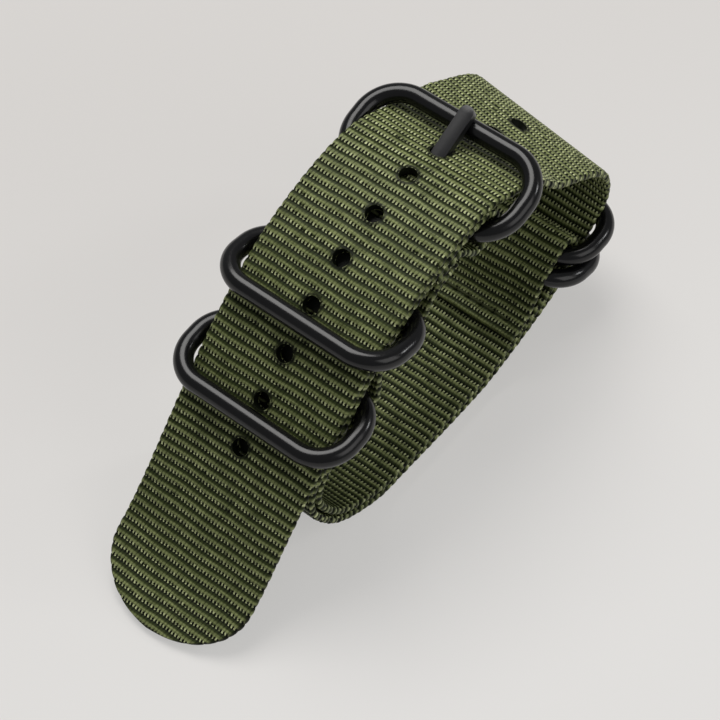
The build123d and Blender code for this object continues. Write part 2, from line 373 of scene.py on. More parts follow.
    def lay_second_line(self) -> None:
        """Lay the second strap's middle line, from its rear end to its end under the buckle."""
        end = self.front.length
        self.pocket_front = end - self.front_ring_distance
        self.pocket_back = end - self.back_ring_distance
        pocket_depth = (
            self.webbing_thickness + self.ring_drift + self.wire_diameter + 2 * self.bar_slack
        )
        along = np.linspace(0, end - self.joined_start, FRONT_POINTS)
        pockets = (self.pocket_front, self.pocket_back)
        pocket = np.maximum(*(bulge(along, middle, self.pocket_length) for middle in pockets))
        closed = self.layer_step * (1 + ease(along, self.pocket_back, end - self.turned_length))
        front = self.front.beside(along, closed + (pocket_depth - closed) * pocket)
        self.rear_station = self.tail.length - self.rear_ring_distance
        place, heading = self.tail.spot(self.rear_station, self.layer_step)
        radius = pocket_depth / 2
        fold = self.fold_round(place, -heading, radius, self.ring_drift, -1)
        distances = np.linspace(self.rear_station, self.tail.length, LOW_POINTS)
        low = self.tail.beside(distances, self.layer_step)
        self.rear_seam_distance = self.rear_bar_spacing * 2 + radius * self.rear_fold_share
        reach = self.rear_seam_distance + self.layer_step * self.rear_end_share
        along = np.linspace(0, reach, REAR_POINTS)
        shut = ease(along, self.rear_bar_spacing, self.rear_seam_distance - self.thread_width)
        depth = self.layer_step + pocket_depth - (pocket_depth - self.layer_step) * shut
        top = self.tail.beside(self.rear_station + along, depth)
        self.second = Line(np.vstack([top[::-1], fold[::-1], low, front]))

    def swing_to(self, centre: Array, radius: float, search: Span, distance: float) -> float:
        """Turn a bar about its hinge until it is a given distance from the tail.

        Args:
            centre: The hinge.
            radius: Distance between the hinge and the bar.
            search: An angle at which the bar is free, and one at which it is in the tail.
            distance: Gap between the bar's centre and the tail's middle line.

        Returns:
            The angle.
        """
        free, blocked = search
        for _ in range(SWING_HALVINGS):
            middle = (free + blocked) / 2
            if self.tail.nearest(on_circle(centre, radius, middle))[0] > distance:
                free = middle
            else:
                blocked = middle
        return free

    def place_bars(self) -> None:
        """Place the rings' hinge bars and find the angles at which the rings rest."""
        touch = self.half_thickness + self.wire_radius
        depth = touch + self.ring_drift + self.bar_slack
        self.front_hinge = self.front.beside(self.pocket_front, depth)[0]
        self.back_hinge = self.front.beside(self.pocket_back, depth)[0]
        depth = self.layer_step + touch + self.ring_drift + self.rear_slack
        self.rear_hinge = self.tail.beside(self.rear_station, depth)[0]
        self.low_hinge = self.tail.beside(self.rear_station + self.rear_bar_spacing, depth)[0]
        touch += self.rest_slack
        spacing, rest = self.ring_spacing, touch + self.ring_drift
        self.front_angle = self.swing_to(self.front_hinge, spacing, self.front_search, rest)
        self.back_angle = self.swing_to(self.back_hinge, spacing, self.back_search, rest)
        spacing, rest = self.buckle_spacing, touch + self.buckle_drift * self.buckle_drift_share
        self.buckle_angle = self.swing_to(self.buckle_hinge, spacing, self.buckle_search, rest)

    def place_tongue(self) -> None:
        """Find where the tongue crosses the tail, and the hole that it needs there."""
        rise = self.wire_radius + self.tongue_seat + self.tongue_thickness / 2
        angle = self.buckle_angle + math.asin(rise / self.buckle_spacing)
        reaches = np.linspace(self.wire_radius, self.buckle_spacing, TONGUE_PLACES)[:, None]
        spots = on_circle(self.buckle_hinge, reaches, angle)
        self.crossing_station = min(self.tail.nearest(spot) for spot in spots)[1]
        tilt = angle - turn_of(self.tail.spot(self.crossing_station)[1])
        thick = self.tongue_thickness + 2 * self.tongue_play
        self.used_hole_length = self.webbing_thickness / math.tan(tilt) + thick / math.sin(tilt)

    def hole_stations(self) -> list[float]:
        """Give the distances of the punched holes from the strap's tip."""
        numbers = range(-self.holes_before_tongue, self.holes_after_tongue + 1)
        return [self.crossing_station + k * self.hole_pitch for k in numbers]


# Meshes


def link(name: str, data: bpy.types.ID) -> Object:
    """Put an object that shows this data into the scene."""
    made = bpy.data.objects.new(name, data)
    bpy.context.scene.collection.objects.link(made)
    return made


def face_along(made: Object, direction: Vector) -> None:
    """Turn a lamp or a camera to look along a direction."""
    made.rotation_mode = "QUATERNION"
    made.rotation_quaternion = direction.to_track_quat("-Z", "Y")


def mesh_object(
    name: str, vertices: Array, faces: Sequence, material: Material, smooth: bool = True
) -> Object:
    """Make an object.

    Args:
        name: The object's name.
        vertices: Its vertices, in millimetres.
        faces: The vertex numbers of each face.
        material: Its material.
        smooth: Whether its faces are shaded smooth.

    Returns:
        The object, linked to the scene.
    """
    mesh = bpy.data.meshes.new(name)
    mesh.from_pydata((vertices * MM).tolist(), [], faces)
    mesh.update()
    mesh.materials.append(material)
    if smooth:
        mesh.polygons.foreach_set("use_smooth", [True] * len(mesh.polygons))
    return link(name, mesh)


def enter(piece: Object, body: Body, node: str) -> None:
    """Args:
        piece: The piece.
        body: The body that it rides on.
        node: The node that it replaces.
    """
    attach(piece, body.value)
    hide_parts(node)
    LOG.info("%s: %d faces", piece.name, len(piece.data.polygons))


def apply_modifiers(piece: Object) -> None:
    """Make what the modifiers show the object's own mesh.

    Args:
        piece: The object.
    """
    bpy.context.view_layer.update()
    shown = piece.evaluated_get(bpy.context.evaluated_depsgraph_get())
    mesh = bpy.data.meshes.new_from_object(shown)
    piece.modifiers.clear()
    piece.data = mesh


def store_melt_and_dent_shade(mesh: Mesh, shares: Array) -> None:
    """Store on the vertices how far the webbing is melted there, or darkened as painted shade in
    the needle marks.
    """
    attribute = mesh.attributes.new("sealed", "FLOAT", "POINT")
    attribute.data.foreach_set("value", shares.astype(np.float32))


def grid_faces(rows: int, columns: int, closed: bool) -> list[tuple[int, ...]]:
    """Give the faces of a skin made of rings.

    Args:
        rows: Number of rings.
        columns: Number of points on each ring.
        closed: Whether the last ring joins the first, instead of both being capped.

    Returns:
        The vertex numbers of each face.
    """
    faces = []
    for i in range(rows if closed else rows - 1):
        low, high = i * columns, (i + 1) % rows * columns
        for j in range(columns):
            after = (j + 1) % columns
            faces.append((low + j, low + after, high + after, high + j))
    if not closed:
        last = (rows - 1) * columns
        faces += [tuple(range(columns))[::-1], tuple(range(last, last + columns))]
    return faces


def tube(path: Array, radius: Number, sides: int, closed: bool, normal: Array) -> Skin:
    """Sweep a circle along a path that lies in a plane.

    Args:
        path: Points of the path, in millimetres.
        radius: Radius of the wire, or one for each point.
        sides: Number of points round the wire.
        closed: Whether the path closes.
        normal: Normal of the path's plane.

    Returns:
        The vertices and the faces.
    """
    if closed:
        step = np.roll(path, -1, axis=0) - np.roll(path, 1, axis=0)
    else:
        step = np.gradient(path, axis=0)
    across = np.cross(step / np.linalg.norm(step, axis=1)[:, None], normal)
    turn = np.linspace(0, 2 * math.pi, sides, endpoint=False)[None, :, None]
    size = np.broadcast_to(radius, (len(path),))[:, None, None]
    ring = (
        path[:, None, :]
        + across[:, None, :] * np.cos(turn) * size
        + normal[None, None, :] * np.sin(turn) * size
    )
    return ring.reshape(-1, 3), grid_faces(len(path), sides, closed)


def merged(skins: Sequence[Skin]) -> Skin:
    """Join skins into one."""
    faces, start = [], 0
    for corners, sides in skins:
        faces += [tuple(start + v for v in side) for side in sides]
        start += len(corners)
    return np.vstack([corners for corners, _ in skins]), faces


# Materials


@dataclass(frozen=True)
class Value:
    """A shader socket that takes part in sums."""

    graph: "Graph"
    socket: Socket

    def __add__(self, other: "Value | float") -> "Value":
        """Add."""
        return self.graph.math("ADD", self, other)

    def __radd__(self, other: float) -> "Value":
        """Add to a number."""
        return self.graph.math("ADD", other, self)

    def __sub__(self, other: "Value | float") -> "Value":
        """Subtract."""
        return self.graph.math("SUBTRACT", self, other)

    def __rsub__(self, other: float) -> "Value":
        """Subtract from a number."""
        return self.graph.math("SUBTRACT", other, self)

    def __mul__(self, other: "Value | float") -> "Value":
        """Multiply."""
        return self.graph.math("MULTIPLY", self, other)

    def __rmul__(self, other: float) -> "Value":
        """Multiply a number."""
        return self.graph.math("MULTIPLY", other, self)

    def fraction(self) -> "Value":
        """Give the part after the point."""
        return self.graph.math("FRACT", self)

    def size(self) -> "Value":
        """Give the value without its sign."""
        return self.graph.math("ABSOLUTE", self)

    def floor(self) -> "Value":
        """Round down."""
        return self.graph.math("FLOOR", self)

    def zigzag(self) -> "Value":
        """Fall from 1 at each whole number to 0 halfway, and rise again."""
        return (self.fraction() - 0.5).size() * 2

    def between(self, low: float, high: float) -> "Value":
        """Rise smoothly from 0 to 1 between two values."""
        made = self.graph.add("MapRange", {"interpolation_type": "SMOOTHSTEP"}, {
            "Value": self, "From Min": low, "From Max": high,
        })
        return Value(self.graph, made.outputs["Result"])


class Graph:
    """The node tree of one material."""

    def __init__(self, name: str) -> None:
        """Start a material with an empty tree and its output.

        Args:
            name: The material's name.
        """
        self.material = bpy.data.materials.new(name)
        self.material.use_nodes = True
        self.tree = self.material.node_tree
        self.tree.nodes.clear()
        self.output = self.add("OutputMaterial")

    def add(
        self, kind: str, settings: dict | None = None, inputs: dict | None = None
    ) -> bpy.types.Node:
        """Add a node.

        Args:
            kind: The node's type, without its ShaderNode prefix.
            settings: Properties of the node.
            inputs: Values, colours or sockets for its inputs, by name or number.

        Returns:
            The node.
        """
        node = self.tree.nodes.new("ShaderNode" + kind)
        for key, setting in (settings or {}).items():
            setattr(node, key, setting)
        for key, given in (inputs or {}).items():
            self.feed(node.inputs[key], given)
        return node

    def feed(self, socket: Socket, given: object) -> None:
        """Link a socket to a value, or set it."""
        if isinstance(given, Value):
            given = given.socket
        if isinstance(given, Socket):
            self.tree.links.new(given, socket)
        else:
            socket.default_value = given

    def math(self, operation: str, *values: "Value | float") -> Value:
        """Join values in a Math node."""
        made = self.add("Math", {"operation": operation}, dict(enumerate(values)))
        return Value(self, made.outputs[0])

    def place(self) -> Socket:
        """Give the object's own coordinates, in metres."""
        return self.add("TexCoord").outputs["Object"]

    def split(self, vector: Socket) -> tuple[Value, Value]:
        """Give the first two parts of a vector."""
        parts = self.add("SeparateXYZ", {}, {"Vector": vector}).outputs
        return Value(self, parts[0]), Value(self, parts[1])

    def join(self, first: Value, second: Value) -> Socket:
        """Make a vector of two values."""
        return self.add("CombineXYZ", {}, {"X": first, "Y": second}).outputs["Vector"]

    def noise(self, vector: object, scale: float, detail: float) -> Value:
        """Give noise around one half."""
        made = self.add("TexNoise", {}, {"Vector": vector, "Scale": scale, "Detail": detail})
        return Value(self, made.outputs["Fac"])

    def blend(self, share: "Value | float", first: object, second: object) -> Value:
        """Mix two colours; the Mix node's colours are its inputs 6 and 7."""
        made = self.add("Mix", {"data_type": "RGBA"}, {0: share, 6: first, 7: second})
        return Value(self, made.outputs[2])

    def surface(self, inputs: dict) -> None:
        """End the tree in a Principled surface with these inputs."""
        made = self.add("BsdfPrincipled", {}, inputs)
        self.feed(self.output.inputs["Surface"], made.outputs["BSDF"])

    def bump(self, height: Value, distance: float, strength: float) -> Socket:
        """Turn a height into a normal."""
        inputs = {"Height": height, "Distance": distance, "Strength": strength}
        return self.add("Bump", {}, inputs).outputs["Normal"]


def opaque(colour: Colour) -> tuple[float, float, float, float]:
    """Add full alpha to a colour."""
    return (*colour, 1.0)


@dataclass(frozen=True)
class WebbingFinish:
    """Ribbed nylon: smooth ribs, with a painted highlight on their crests, painted shade in the
    grooves and between the yarns, and pale teeth where the yarns dive between them, painted as
    glints.

    Each Span is a stretch over which a mask rises: a rib runs from 0 to 1 along the strap, a
    yarn from 0 in its middle to 1 at its edges. Each noise is a scale and a detail.
    """

    name: str = "webbing_weave"
    # The crest colour is a painted highlight on the rib tops; the body colour is the rib's darker
    # colour away from that highlight.
    crest_highlight: Colour = (0.275, 0.312, 0.128)
    body: Colour = (0.030, 0.040, 0.011)
    # The tooth colour is a painted glint on the yarn loops that cross the grooves.
    glinting_tooth: Colour = (0.540, 0.580, 0.310)
    # The groove colour is painted shade, near black, in the grooves between the ribs and between
    # the yarns.
    groove_shade: Colour = (0.0020, 0.0030, 0.0010)
    # The sealed colour is the dark of melted nylon round the cuts, and painted shade in the needle
    # marks.
    sealed: Colour = (0.0045, 0.0060, 0.0025)
    sealed_share: float = 0.92
    wobble_noise: Span = (2400.0, 2.0)
    blotch_noise: Span = (300.0, 4.0)
    fibre_noise: Span = (9000.0, 1.0)
    streak_noise: Span = (1.0, 2.0)
    streak_scale: Span = (6.0, 0.22)
    pick_noise: Span = (1.0, 1.0)
    pick_scale: Span = (1.7, 3.1)
    slant: float = 0.5
    rib_shift: float = 0.37
    wobble_share: float = 0.5
    crest_middle: float = 0.36
    crest_slope: float = 2.9
    crest_rise: Span = (0.12, 0.9)
    blotch_share: float = 0.9
    streak_middle: float = 0.35
    streak_share: float = 1.5
    line_rise: Span = (0.40, 1.0)
    line_share: float = 0.50
    line_wobble: float = 1.5
    valley_rise: Span = (0.64, 0.90)
    valley_fall: Span = (0.02, 0.16)
    valley_share: float = 0.52
    valley_yarn_rise: Span = (0.15, 0.6)
    valley_yarn_share: float = 0.40
    dive_shift: float = 0.43
    dive_fade: Span = (0.20, 0.40)
    dive_rise: Span = (0.42, 0.66)
    tooth_fade: Span = (0.26, 0.56)
    tooth_contrast: float = 3.0
    tooth_dropout: float = 0.80
    yarn_height: float = 0.45
    tooth_height: float = 0.3
    fibre_height: float = 0.14
    relief: Span = (0.00009, 0.9)
    roughness: float = 0.42
    valley_roughness: float = 0.3
    shine: float = 0.10

    def material(self) -> Material:
        """Build the material."""
        graph, groove_shade = Graph(self.name), opaque(self.groove_shade)
        along, across = graph.split(graph.add("UVMap", {"uv_map": "weave"}).outputs["UV"])
        sealed = Value(graph, graph.add("Attribute", {"attribute_name": "sealed"}).outputs["Fac"])
        place = graph.place()
        wobble = graph.noise(place, *self.wobble_noise) - 0.5
        blotch = graph.noise(place, *self.blotch_noise) * self.blotch_share
        inside, rib = along.fraction(), along.floor()
        slanted = across + (inside - 0.5) * self.slant + rib * self.rib_shift
        slanted = slanted + wobble * self.wobble_share
        yarn = slanted.zigzag()
        streaks = graph.join(along * self.streak_scale[0], across * self.streak_scale[1])
        streak = (graph.noise(streaks, *self.streak_noise) - self.streak_middle) * self.streak_share
        picks = graph.join(slanted.floor() * self.pick_scale[0], rib * self.pick_scale[1])
        pick = graph.noise(picks, *self.pick_noise) * self.tooth_contrast - self.tooth_dropout
        # Painted highlight: the crest colour is blended in along each rib's top, broken up by the
        # blotch and streak noise.
        crest_highlight = 1 - (inside - self.crest_middle).size() * self.crest_slope
        lit = crest_highlight.between(*self.crest_rise) * (blotch + streak)
        colour = graph.blend(lit, opaque(self.body), opaque(self.crest_highlight))
        # Painted shade in the dark lines between the yarns.
        line = yarn.between(*self.line_rise) * (self.line_share + wobble * self.line_wobble)
        colour = graph.blend(line, colour, groove_shade)
        # Painted shade in the grooves between the ribs, darkest between the yarns.
        deep = inside.between(*self.valley_rise) + 1 - inside.between(*self.valley_fall)
        dark = yarn.between(*self.valley_yarn_rise) * self.valley_yarn_share + self.valley_share
        colour = graph.blend(deep * dark, colour, groove_shade)
        # Painted shade where the yarns dive between the ribs.
        dive = 1 - (inside + self.dive_shift).zigzag().between(*self.dive_fade)
        colour = graph.blend(dive * yarn.between(*self.dive_rise), colour, groove_shade)
        # Painted glint on the teeth, shown at random places by the pick noise.
        glinting_tooth = dive * (1 - yarn.between(*self.tooth_fade)) * pick
        colour = graph.blend(glinting_tooth, colour, opaque(self.glinting_tooth))
        # Dark melted nylon round the cuts, and painted shade in the needle marks.
        colour = graph.blend(sealed * self.sealed_share, colour, opaque(self.sealed))
        fibre = graph.noise(place, *self.fibre_noise) * self.fibre_height
        height = (1 - yarn) * self.yarn_height * (1 - sealed) + glinting_tooth * self.tooth_height + fibre
        graph.surface({
            "Base Color": colour,
            "Roughness": self.roughness + deep * self.valley_roughness,
            "Normal": graph.bump(height, *self.relief),
            "Specular IOR Level": self.shine,
        })
        return graph.material


@dataclass(frozen=True)
class ThreadFinish:
    """Nylon in one colour, such as sewing thread."""

    name: str = "sewing_thread"
    colour: Colour = (0.050, 0.058, 0.022)
    roughness: float = 0.6
    shine: float = 0.2
    grain_noise: Span = (5200.0, 1.0)
    relief: Span = (0.00003, 0.8)

    def wear(self, graph: Graph, grain: Value) -> Value | float:
        """Give the roughness."""
        return self.roughness

    def material(self) -> Material:
        """Build the material."""
        graph = Graph(self.name)
        grain = graph.noise(graph.place(), *self.grain_noise)
        graph.surface({
            "Base Color": opaque(self.colour),
            "Roughness": self.wear(graph, grain),
            "Normal": graph.bump(grain, *self.relief),
            "Specular IOR Level": self.shine,
        })
        return graph.material


@dataclass(frozen=True)
class MeltedFinish(ThreadFinish):
    """The webbing's nylon, melted where it is cut."""

    name: str = "melted_edge"
    colour: Colour = WebbingFinish.sealed
    roughness: float = 0.45


@dataclass(frozen=True)
class WireFinish(ThreadFinish):
    """Steel wire with a glossy near-black coating, worn here and there."""

    name: str = "coated_wire"
    colour: Colour = (0.0030, 0.0030, 0.0034)
    roughness: float = 0.20
    shine: float = 0.38
    grain_noise: Span = (1500.0, 3.0)
    relief: Span = (0.000005, 0.5)
    grain_share: float = 0.06
    worn_noise: Span = (130.0, 2.0)
    worn_share: float = 0.10

    def wear(self, graph: Graph, grain: Value) -> Value | float:
        """Give the roughness, which the grain and the wear change."""
        worn = (graph.noise(graph.place(), *self.worn_noise) - 0.5) * self.worn_share
        return self.roughness + worn + (grain - 0.5) * self.grain_share


@dataclass(frozen=True)
class TongueFinish(WireFinish):
    """The same coating on the tongue's flat strip, given a paler colour as a painted highlight."""

    name: str = "tongue_metal"
    # Painted highlight: a paler colour than the wire's, for the same coating.
    colour: Colour = (0.012, 0.012, 0.013)
    roughness: float = 0.30
    shine: float = 0.50


@dataclass(frozen=True)
class FloorFinish:
    """Pale, warm grey paper, with a painted pool of light that makes it paler near the camera.

    What looks at the paper sees a share of it in a flat colour, which keeps the shadow pale.
    """

    name: str = "floor_paper"
    colour: Colour = (0.655, 0.637, 0.618)
    black: Colour = (0.0, 0.0, 0.0)
    shown_far: Colour = (0.700, 0.680, 0.659)
    # The near colour is a painted pool of light, paler near the camera.
    near_painted_light: Colour = (0.872, 0.866, 0.853)
    flat_share: float = 0.52
    nearer: Span = (-0.53, -0.85)
    near_rise: Span = (-0.08, 0.06)
    roughness: float = 0.95
    shine: float = 0.1

    def material(self) -> Material:
        """Build the material."""
        graph = Graph(self.name)
        rays = graph.add("LightPath").outputs
        seen = Value(graph, rays["Is Camera Ray"])
        for ray in ("Is Glossy Ray", "Is Transmission Ray"):
            seen = seen + Value(graph, rays[ray])
        share = seen * self.flat_share
        x, y = graph.split(graph.place())
        # Painted light: the shown colour grows paler towards the camera.
        near = (x * self.nearer[0] + y * self.nearer[1]).between(*self.near_rise)
        shown = graph.blend(near, opaque(self.shown_far), opaque(self.near_painted_light))
        graph.surface({
            "Base Color": graph.blend(share, opaque(self.colour), opaque(self.black)),
            "Emission Color": graph.blend(share, opaque(self.black), shown),
            "Emission Strength": 1.0,
            "Roughness": self.roughness,
            "Specular IOR Level": self.shine,
        })
        return graph.material


# Pieces


@dataclass(frozen=True)
class Weave:
    """The relief of ribbed webbing, in millimetres, and how finely it is modelled.

    The sways are waves by which the ribs wander, in radians per millimetre across and along.
    The edge is the selvedge, where the yarns turn back in loops.
    """

    rib_pitch: float = 1.26
    rib_depth: float = 0.30
    rib_fullness: float = 1.92
    yarn_pitch: float = 0.50
    yarn_depth: float = 0.05
    wander: float = 0.05
    long_sway: Span = (0.31, 0.17)
    short_sway: Span = (0.83, -0.29)
    short_sway_share: float = 0.6
    edge_depth: float = 0.5
    edge_share: float = 0.6
    edge_steps: int = 7
    edge_roundness: float = 0.9
    loop_share: float = 0.55
    loop_sink: float = 0.06
    loop_uneven: float = 0.05
    loop_step: float = 12.9
    rows_per_rib: int = 9
    columns: int = 88
    quick_rows_per_rib: int = 4
    quick_columns: int = 22

    def phase(self, along: Array, across: Array) -> Array:
        """Count the ribs, which wander a little across the webbing.

        Args:
            along: Distances along the webbing.
            across: Distances from its middle line.

        Returns:
            The number of ribs up to each place.
        """
        (wide, far), (short_wide, short_far) = self.long_sway, self.short_sway
        sway = np.sin(across * wide + along * far)
        sway = sway + self.short_sway_share * np.sin(across * short_wide + along * short_far)
        return along / self.rib_pitch + self.wander * sway

    def relief(self, along: Array, across: Array) -> Array:
        """Work out the ribs and yarns.

        Args:
            along: Distances along the webbing.
            across: Distances from its middle line.

        Returns:
            Heights, with the highest rib at 0.
        """
        phase = self.phase(along, across)
        rib = np.sqrt(1 - (self.rib_fullness * (phase % 1 - 0.5)) ** 2) - 1
        yarns = across / self.yarn_pitch + np.floor(phase) / 2
        yarn = np.abs((yarns % 1) - 0.5) * 2
        return self.rib_depth * rib - self.yarn_depth * yarn

    def loops(self, along: Array) -> Array:
        """Give how far each rib's loop stands out from the selvedge."""
        uneven = np.sin(np.floor(self.phase(along, 0 * along)) * self.loop_step)
        ribs = self.relief(along, 0 * along)
        return self.loop_share * ribs - self.loop_sink + self.loop_uneven * uneven


@dataclass(frozen=True)
class Cut:
    """A prism that is cut out of a band, in millimetres.

    Its outline lies round a spot of the side view, as distances along the band's heading and
    across, and it reaches from low to high, outwards from the band's middle line.
    """

    spot: Array
    heading: Array
    outline: Array
    low: float
    high: float

    def prism(self) -> Skin:
        """Give the prism's vertices and faces."""
        along, across = self.outline.T
        flat = self.spot + along[:, None] * self.heading
        out = -inward_of(self.heading)
        x, z = np.vstack([flat + out * level for level in (self.low, self.high)]).T
        return np.column_stack([x, np.tile(across, 2), z]), grid_faces(2, len(across), False)


@dataclass
class Band:
    """A strap of webbing along a line of the side view.

    Attributes:
        tip: Whether its first end is cut round.
        phase: Distance by which its ribs are shifted.
        holes: Each hole's distance along the band and extra length.
        seams: Distances along the band at which it is sewn.
        twist: Gives how far places along and across the band are lifted.
    """

    name: str
    node: str
    line: Line
    layout: Layout
    weave: Weave
    tip: bool = False
    phase: float = 0.0
    holes: tuple[Span, ...] = ()
    seams: tuple[float, ...] = ()
    twist: Callable[[Array, Array], Array] | None = None
    heading_reach: float = 0.25
    tip_rows: tuple[float, ...] = (0, 0.008, 0.03, 0.07, 0.11)
    tip_end: float = 0.0006
    melted_rim: Span = (0.18, 0.5)
    melted_tip: Span = (0.12, 0.5)
    melted_smoothness: float = 0.85
    needle_reach: Span = (0.16, 0.62)
    needle_depth: float = 0.30
    needle_shade: float = 0.85
    hole_reach: float = 1.4
    hole_points: int = 28

    def stations(self) -> Array:
        """Give the distances of the rows, closer where the tip is cut round."""
        weave = self.weave
        per_rib = weave.rows_per_rib
        count = int(self.line.length / (weave.rib_pitch / per_rib)) + 2
        even = np.linspace(0, self.line.length, count)
        return np.concatenate([self.tip_rows, even[1:]]) if self.tip else even

    def half_widths(self, along: Array) -> Array:
        """Give the band's half width at each row."""
        wide = np.full_like(along, self.layout.half_width)
        if self.tip:
            rest = np.clip(1 - along / self.layout.tip_length, 0, 1)
            wide = wide * np.sqrt(np.clip(1 - rest**2, self.tip_end, 1))
        return wide

    def sealing(self, along: Array, across: Array, wide: Array) -> Array:
        """Give where the webbing is melted: round the holes and along the cut tip.

        Args:
            along: Distances along the band.
            across: Distances from its middle line.
            wide: Its half widths.

        Returns:
            Shares from 0 to 1.
        """
        melted = np.zeros_like(across)
        for station, extra in self.holes:
            beyond = np.maximum(np.abs(along - station) - extra / 2, 0)
            distance = np.hypot(beyond, across) - self.layout.hole_diameter / 2
            melted = np.maximum(melted, 1 - ease(distance, *self.melted_rim))
        if self.tip:
            inset = np.where(along < self.layout.tip_length, wide - np.abs(across), np.inf)
            melted = np.maximum(melted, 1 - ease(np.minimum(inset, along), *self.melted_tip))
        return melted

    def needle_marks(self, along: Array, across: Array) -> Array:
        """Give where the thread pulls the webbing in.

        Args:
            along: Distances along the band.
            across: Distances from its middle line.

        Returns:
            Shares from 0 to 1.
        """
        marks = np.zeros_like(across)
        pitch, count = self.layout.stitch_pitch, self.layout.stitch_count
        number = across / pitch + count / 2
        sideways = (number - np.clip(np.round(number), 0, count)) * pitch
        for station in self.seams:
            distance = np.hypot(along - station, sideways)
            marks = np.maximum(marks, 1 - ease(distance, *self.needle_reach))
        return marks

    def build(self, webbing: Material) -> Object:
        """Build the band as one closed skin.

        Args:
            webbing: Its material.

        Returns:
            The band, without its holes.
        """
        weave, half = self.weave, self.layout.half_thickness
        along = self.stations()[:, None]
        wide = self.half_widths(along)
        edge = np.minimum(weave.edge_depth, wide * weave.edge_share)
        columns = weave.columns
        top_y = (wide - edge) * np.linspace(1, -1, columns + 1)
        station = along + self.phase
        ribbed = 1 - self.sealing(along, top_y, wide) * self.melted_smoothness
        sunk = self.needle_marks(along, top_y) * self.needle_depth
        top_n = half + weave.relief(station, top_y) * ribbed - sunk
        bend = np.linspace(QUARTER_TURN, -QUARTER_TURN, weave.edge_steps + 2)[1:-1]
        side_y = wide - edge + (edge + weave.loops(station)) * np.cos(bend)
        side_n = half + weave.relief(station, 0 * station) * weave.edge_roundness
        side_n = side_n * np.sin(bend)
        y = np.concatenate([top_y, -side_y, top_y[:, ::-1], side_y], axis=1)
        n = np.concatenate([top_n, side_n, -top_n[:, ::-1], side_n[:, ::-1]], axis=1)
        # The needle marks are darkened as painted shade, stored in the same attribute as the melted
        # nylon.
        needles = self.needle_marks(along, y) * self.needle_shade
        sealed = np.maximum(self.sealing(along, y, wide), needles)
        spots = self.line.at(along.ravel())
        outward = -inward_of(self.line.heading(along.ravel(), self.heading_reach))
        x = spots[:, :1] + outward[:, :1] * n
        z = spots[:, 1:] + outward[:, 1:] * n
        if self.twist is not None:
            z = z + self.twist(along, y)
        vertices = np.stack([x, y, z], axis=2).reshape(-1, 3)
        made = mesh_object(self.name, vertices, grid_faces(*y.shape, closed=False), webbing)
        self.write_weave(made.data, weave.phase(station + 0 * y, y), y / weave.yarn_pitch)
        store_melt_and_dent_shade(made.data, sealed.ravel())
        return made

    def write_weave(self, mesh: Mesh, ribs: Array, yarns: Array) -> None:
        """Store where the ribs and yarns are as the mesh's coordinates.

        Args:
            mesh: The band's mesh.
            ribs: The number of ribs up to each vertex.
            yarns: The number of yarns up to each vertex.
        """
        corners = np.zeros(len(mesh.loops), np.int64)
        mesh.loops.foreach_get("vertex_index", corners)
        places = np.column_stack([ribs.ravel()[corners], yarns.ravel()[corners]])
        layer = mesh.uv_layers.new(name="weave")
        layer.data.foreach_set("uv", places.astype(np.float32).ravel())

    def hole_cuts(self) -> list[Cut]:
        """Give the cuts of the punched holes."""
        turn = np.linspace(0, 2 * math.pi, self.hole_points, endpoint=False)
        cuts = []
        for station, extra in self.holes:
            outline = on_circle(np.zeros(2), self.layout.hole_diameter / 2, turn)
            outline[:, 0] += np.sign(outline[:, 0]) * extra / 2
            cuts.append(Cut(*self.line.spot(station), outline, -self.hole_reach, self.hole_reach))
        return cuts

    def punch(self, band: Object, cuts: list[Cut], cut_edge: Material) -> None:
        """Cut prisms out of the built band.

        Args:
            band: The built band.
            cuts: The prisms.
            cut_edge: Material of the cut faces.
        """
        vertices, faces = merged([cut.prism() for cut in cuts])
        cutter = mesh_object(self.name + "_cutter", vertices, faces, cut_edge, smooth=False)
        cutter.data.uv_layers.new(name="weave")
        store_melt_and_dent_shade(cutter.data, np.ones(len(vertices)))
        holes = band.modifiers.new("holes", "BOOLEAN")
        holes.operation, holes.solver, holes.object = "DIFFERENCE", "MANIFOLD", cutter
        holes.material_mode = "TRANSFER"
        apply_modifiers(band)
        bpy.data.objects.remove(cutter)


@dataclass(frozen=True)
class Seam:
    """A row of stitches.

    It has its place on the outermost layer, the strap's heading there, and the depth at which
    the innermost layer lies, in millimetres.
    """

    name: str
    place: Array
    heading: Array
    depth: float


@dataclass(frozen=True)
class Stitch:
    """The shape of a stitch: it lies in the ribs, and dips and thins towards its ends.

    Heights are in millimetres, widths are shares of the thread's and of the stitches' pitch.
    """

    points: int = 15
    sides: int = 10
    sink: float = 0.10
    dip: float = 0.42
    dip_power: int = 5
    reach_share: float = 0.46
    middle_share: float = 0.82
    thinning: float = 0.3
    thinning_power: int = 4


